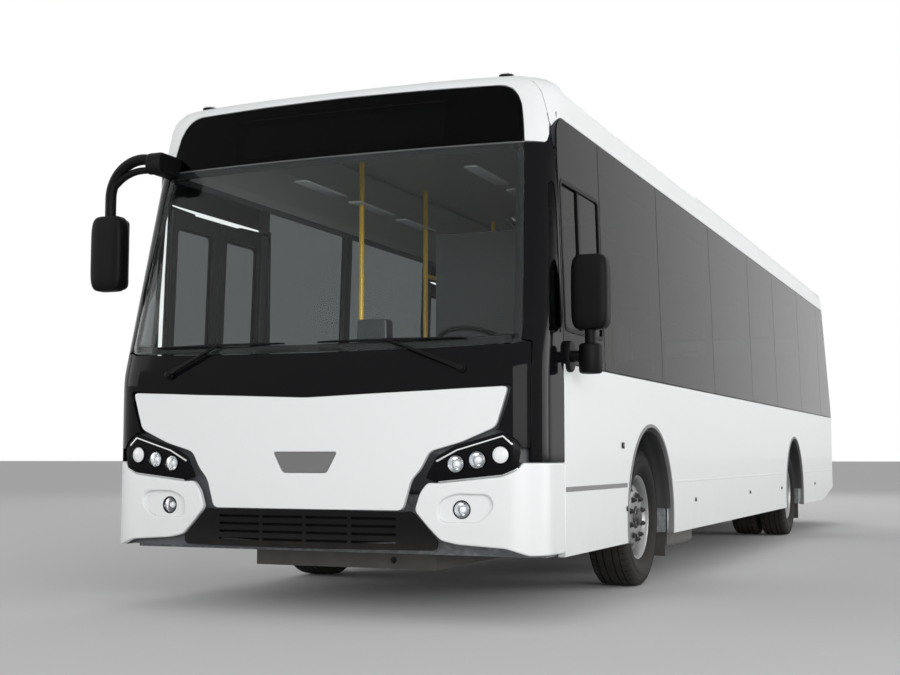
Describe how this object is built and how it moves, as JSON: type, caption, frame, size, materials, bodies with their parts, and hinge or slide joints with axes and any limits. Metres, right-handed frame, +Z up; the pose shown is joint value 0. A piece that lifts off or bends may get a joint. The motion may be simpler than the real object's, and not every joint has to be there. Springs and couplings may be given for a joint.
{
  "type": "low-entry city bus",
  "caption": "Left-hand drive low-entry city bus with two inward gliding double doors, steered front axle, twin rear wheels, glazed saloon with seats and opening hatches.",
  "frame": {"origin": "on the ground under the middle of the footprint", "axes": "+Z up, the front faces -Y, +X is the driver's side"},
  "size_m": [3, 11.76, 2.914],
  "materials": {
    "white_paint": "gloss",
    "black_gloss": "high gloss",
    "black_plastic": "grained",
    "clear_glass": "clear",
    "tinted_glass": "grey tint",
    "lamp": "clear lens over reflector",
    "red_lens": "lens",
    "amber_lens": "lens",
    "yellow_rail": "powder coat",
    "frame_paint": "chassis paint",
    "floor_vinyl": "safety floor",
    "liner": "light grey moulding",
    "cab_plastic": "soft grain",
    "seat_plastic": "grained",
    "seat_fabric": "woven moquette",
    "cast_steel": "painted",
    "wheel_steel": "silver",
    "tyre": "rubber",
    "mudflap_rubber": "matt"
  },
  "bodies": {
    "chassis": {"underframe": "frame_paint", "floor": "floor_vinyl", "left_side": "white_paint", "right_side": "white_paint", "roof": "white_paint", "ceiling": "liner", "front_cap": "white_paint", "destination_glass": "black_gloss", "windscreen": "clear_glass", "corner_posts": "black_gloss", "front_band": "black_gloss", "front_panel": "white_paint", "bumper_corners": "white_paint", "lower_grille": "black_plastic", "headlamps": "lamp", "left_glass": "tinted_glass", "right_glass": "tinted_glass", "rear_panel": "white_paint", "rear_glass": "tinted_glass", "tail_lamps": "red_lens", "marker_lamps": "amber_lens", "left_mirror": "black_plastic", "right_mirror": "black_plastic", "wipers": "black_plastic", "dashboard": "cab_plastic", "driver_partition": "cab_plastic", "seat_frames": "seat_plastic", "seat_pads": "seat_fabric", "handrails": "yellow_rail", "front_axle": "cast_steel", "rear_axle": "cast_steel", "engine": "cast_steel", "tanks": "frame_paint", "mudflaps": "mudflap_rubber"},
    "knuckle_left": {"left_knuckle": "cast_steel"},
    "knuckle_right": {"right_knuckle": "cast_steel"},
    "wheel_front_left": {"front_left_rim": "wheel_steel", "front_left_tyre": "tyre"},
    "wheel_front_right": {"front_right_rim": "wheel_steel", "front_right_tyre": "tyre"},
    "wheels_rear_left": {"rear_left_rims": "wheel_steel", "rear_left_tyres": "tyre"},
    "wheels_rear_right": {"rear_right_rims": "wheel_steel", "rear_right_tyres": "tyre"},
    "steering": {"steering_wheel": "black_plastic"},
    "front_post_a": {"front_door_post_a": "yellow_rail"},
    "front_post_b": {"front_door_post_b": "yellow_rail"},
    "middle_post_a": {"middle_door_post_a": "yellow_rail"},
    "middle_post_b": {"middle_door_post_b": "yellow_rail"},
    "front_leaf_a": {"front_door_leaf_a": "black_plastic", "front_door_pane_a": "tinted_glass"},
    "front_leaf_b": {"front_door_leaf_b": "black_plastic", "front_door_pane_b": "tinted_glass"},
    "middle_leaf_a": {"middle_door_leaf_a": "black_plastic", "middle_door_pane_a": "tinted_glass"},
    "middle_leaf_b": {"middle_door_leaf_b": "black_plastic", "middle_door_pane_b": "tinted_glass"},
    "rear_hatch": {"engine_hatch": "white_paint"},
    "top_hatch": {"roof_hatch": "white_paint"}
  },
  "joints": [
    {"name": "steer_left", "type": "hinge", "parent": "chassis", "child": "knuckle_left", "pos_m": [0.8605, -3.6, 0.4335], "axis": [0, 0, 1], "range_deg": [-42, 42]},
    {"name": "steer_right", "type": "hinge", "parent": "chassis", "child": "knuckle_right", "pos_m": [-0.8605, -3.6, 0.4335], "axis": [0, 0, 1], "range_deg": [-42, 42]},
    {"name": "steering_wheel_turn", "type": "hinge", "parent": "chassis", "child": "steering", "pos_m": [0.66, -5.12, 1.42], "axis": [0, 0.4695, 0.8829], "range_deg": [-630, 630]},
    {"name": "spin_front_left", "type": "hinge", "parent": "knuckle_left", "child": "wheel_front_left", "pos_m": [1.0825, -3.6, 0.4335], "axis": [1, 0, 0], "continuous": true},
    {"name": "spin_rear_left", "type": "hinge", "parent": "chassis", "child": "wheels_rear_left", "pos_m": [1.0825, 2.5, 0.4335], "axis": [1, 0, 0], "continuous": true},
    {"name": "spin_front_right", "type": "hinge", "parent": "knuckle_right", "child": "wheel_front_right", "pos_m": [-1.0825, -3.6, 0.4335], "axis": [1, 0, 0], "continuous": true},
    {"name": "spin_rear_right", "type": "hinge", "parent": "chassis", "child": "wheels_rear_right", "pos_m": [-1.0825, 2.5, 0.4335], "axis": [1, 0, 0], "continuous": true},
    {"name": "front_door", "type": "hinge", "parent": "chassis", "child": "front_post_a", "pos_m": [-1.201, -5.388, 0.34], "axis": [0, 0, -1], "range_deg": [0, 79.76]},
    {"name": "front_door_leaf_a_turn", "type": "hinge", "parent": "front_post_a", "child": "front_leaf_a", "pos_m": [-1.234, -5.07, 0.34], "axis": [0, 0, 1], "range_deg": [0, 169.81]},
    {"name": "front_door_post_b_turn", "type": "hinge", "parent": "chassis", "child": "front_post_b", "pos_m": [-1.201, -4.202, 0.34], "axis": [0, 0, 1], "range_deg": [0, 79.81]},
    {"name": "front_door_leaf_b_turn", "type": "hinge", "parent": "front_post_b", "child": "front_leaf_b", "pos_m": [-1.234, -4.52, 0.34], "axis": [0, 0, -1], "range_deg": [0, 169.81]},
    {"name": "middle_door", "type": "hinge", "parent": "chassis", "child": "middle_post_a", "pos_m": [-1.201, -1.528, 0.34], "axis": [0, 0, -1], "range_deg": [0, 79.76]},
    {"name": "middle_door_leaf_a_turn", "type": "hinge", "parent": "middle_post_a", "child": "middle_leaf_a", "pos_m": [-1.234, -1.21, 0.34], "axis": [0, 0, 1], "range_deg": [0, 169.81]},
    {"name": "middle_door_post_b_turn", "type": "hinge", "parent": "chassis", "child": "middle_post_b", "pos_m": [-1.201, -0.342, 0.34], "axis": [0, 0, 1], "range_deg": [0, 79.81]},
    {"name": "middle_door_leaf_b_turn", "type": "hinge", "parent": "middle_post_b", "child": "middle_leaf_b", "pos_m": [-1.234, -0.66, 0.34], "axis": [0, 0, -1], "range_deg": [0, 169.81]},
    {"name": "engine_hatch_lift", "type": "hinge", "parent": "chassis", "child": "rear_hatch", "pos_m": [0, 5.88, 1.19], "axis": [1, 0, 0], "range_deg": [0, 80]},
    {"name": "roof_hatch_lift", "type": "hinge", "parent": "chassis", "child": "top_hatch", "pos_m": [0, -1.7, 2.869], "axis": [1, 0, 0], "range_deg": [0, 25]}
  ],
  "couplings": [
    {"joint": "steer_right", "follows": "steer_left", "ratio": 1},
    {"joint": "steering_wheel_turn", "follows": "steer_left", "ratio": 15},
    {"joint": "front_door_leaf_a_turn", "follows": "front_door", "ratio": 2.1284},
    {"joint": "front_door_post_b_turn", "follows": "front_door", "ratio": 1},
    {"joint": "front_door_leaf_b_turn", "follows": "front_door", "ratio": 2.1284},
    {"joint": "middle_door_leaf_a_turn", "follows": "middle_door", "ratio": 2.1284},
    {"joint": "middle_door_post_b_turn", "follows": "middle_door", "ratio": 1},
    {"joint": "middle_door_leaf_b_turn", "follows": "middle_door", "ratio": 2.1284}
  ]
}
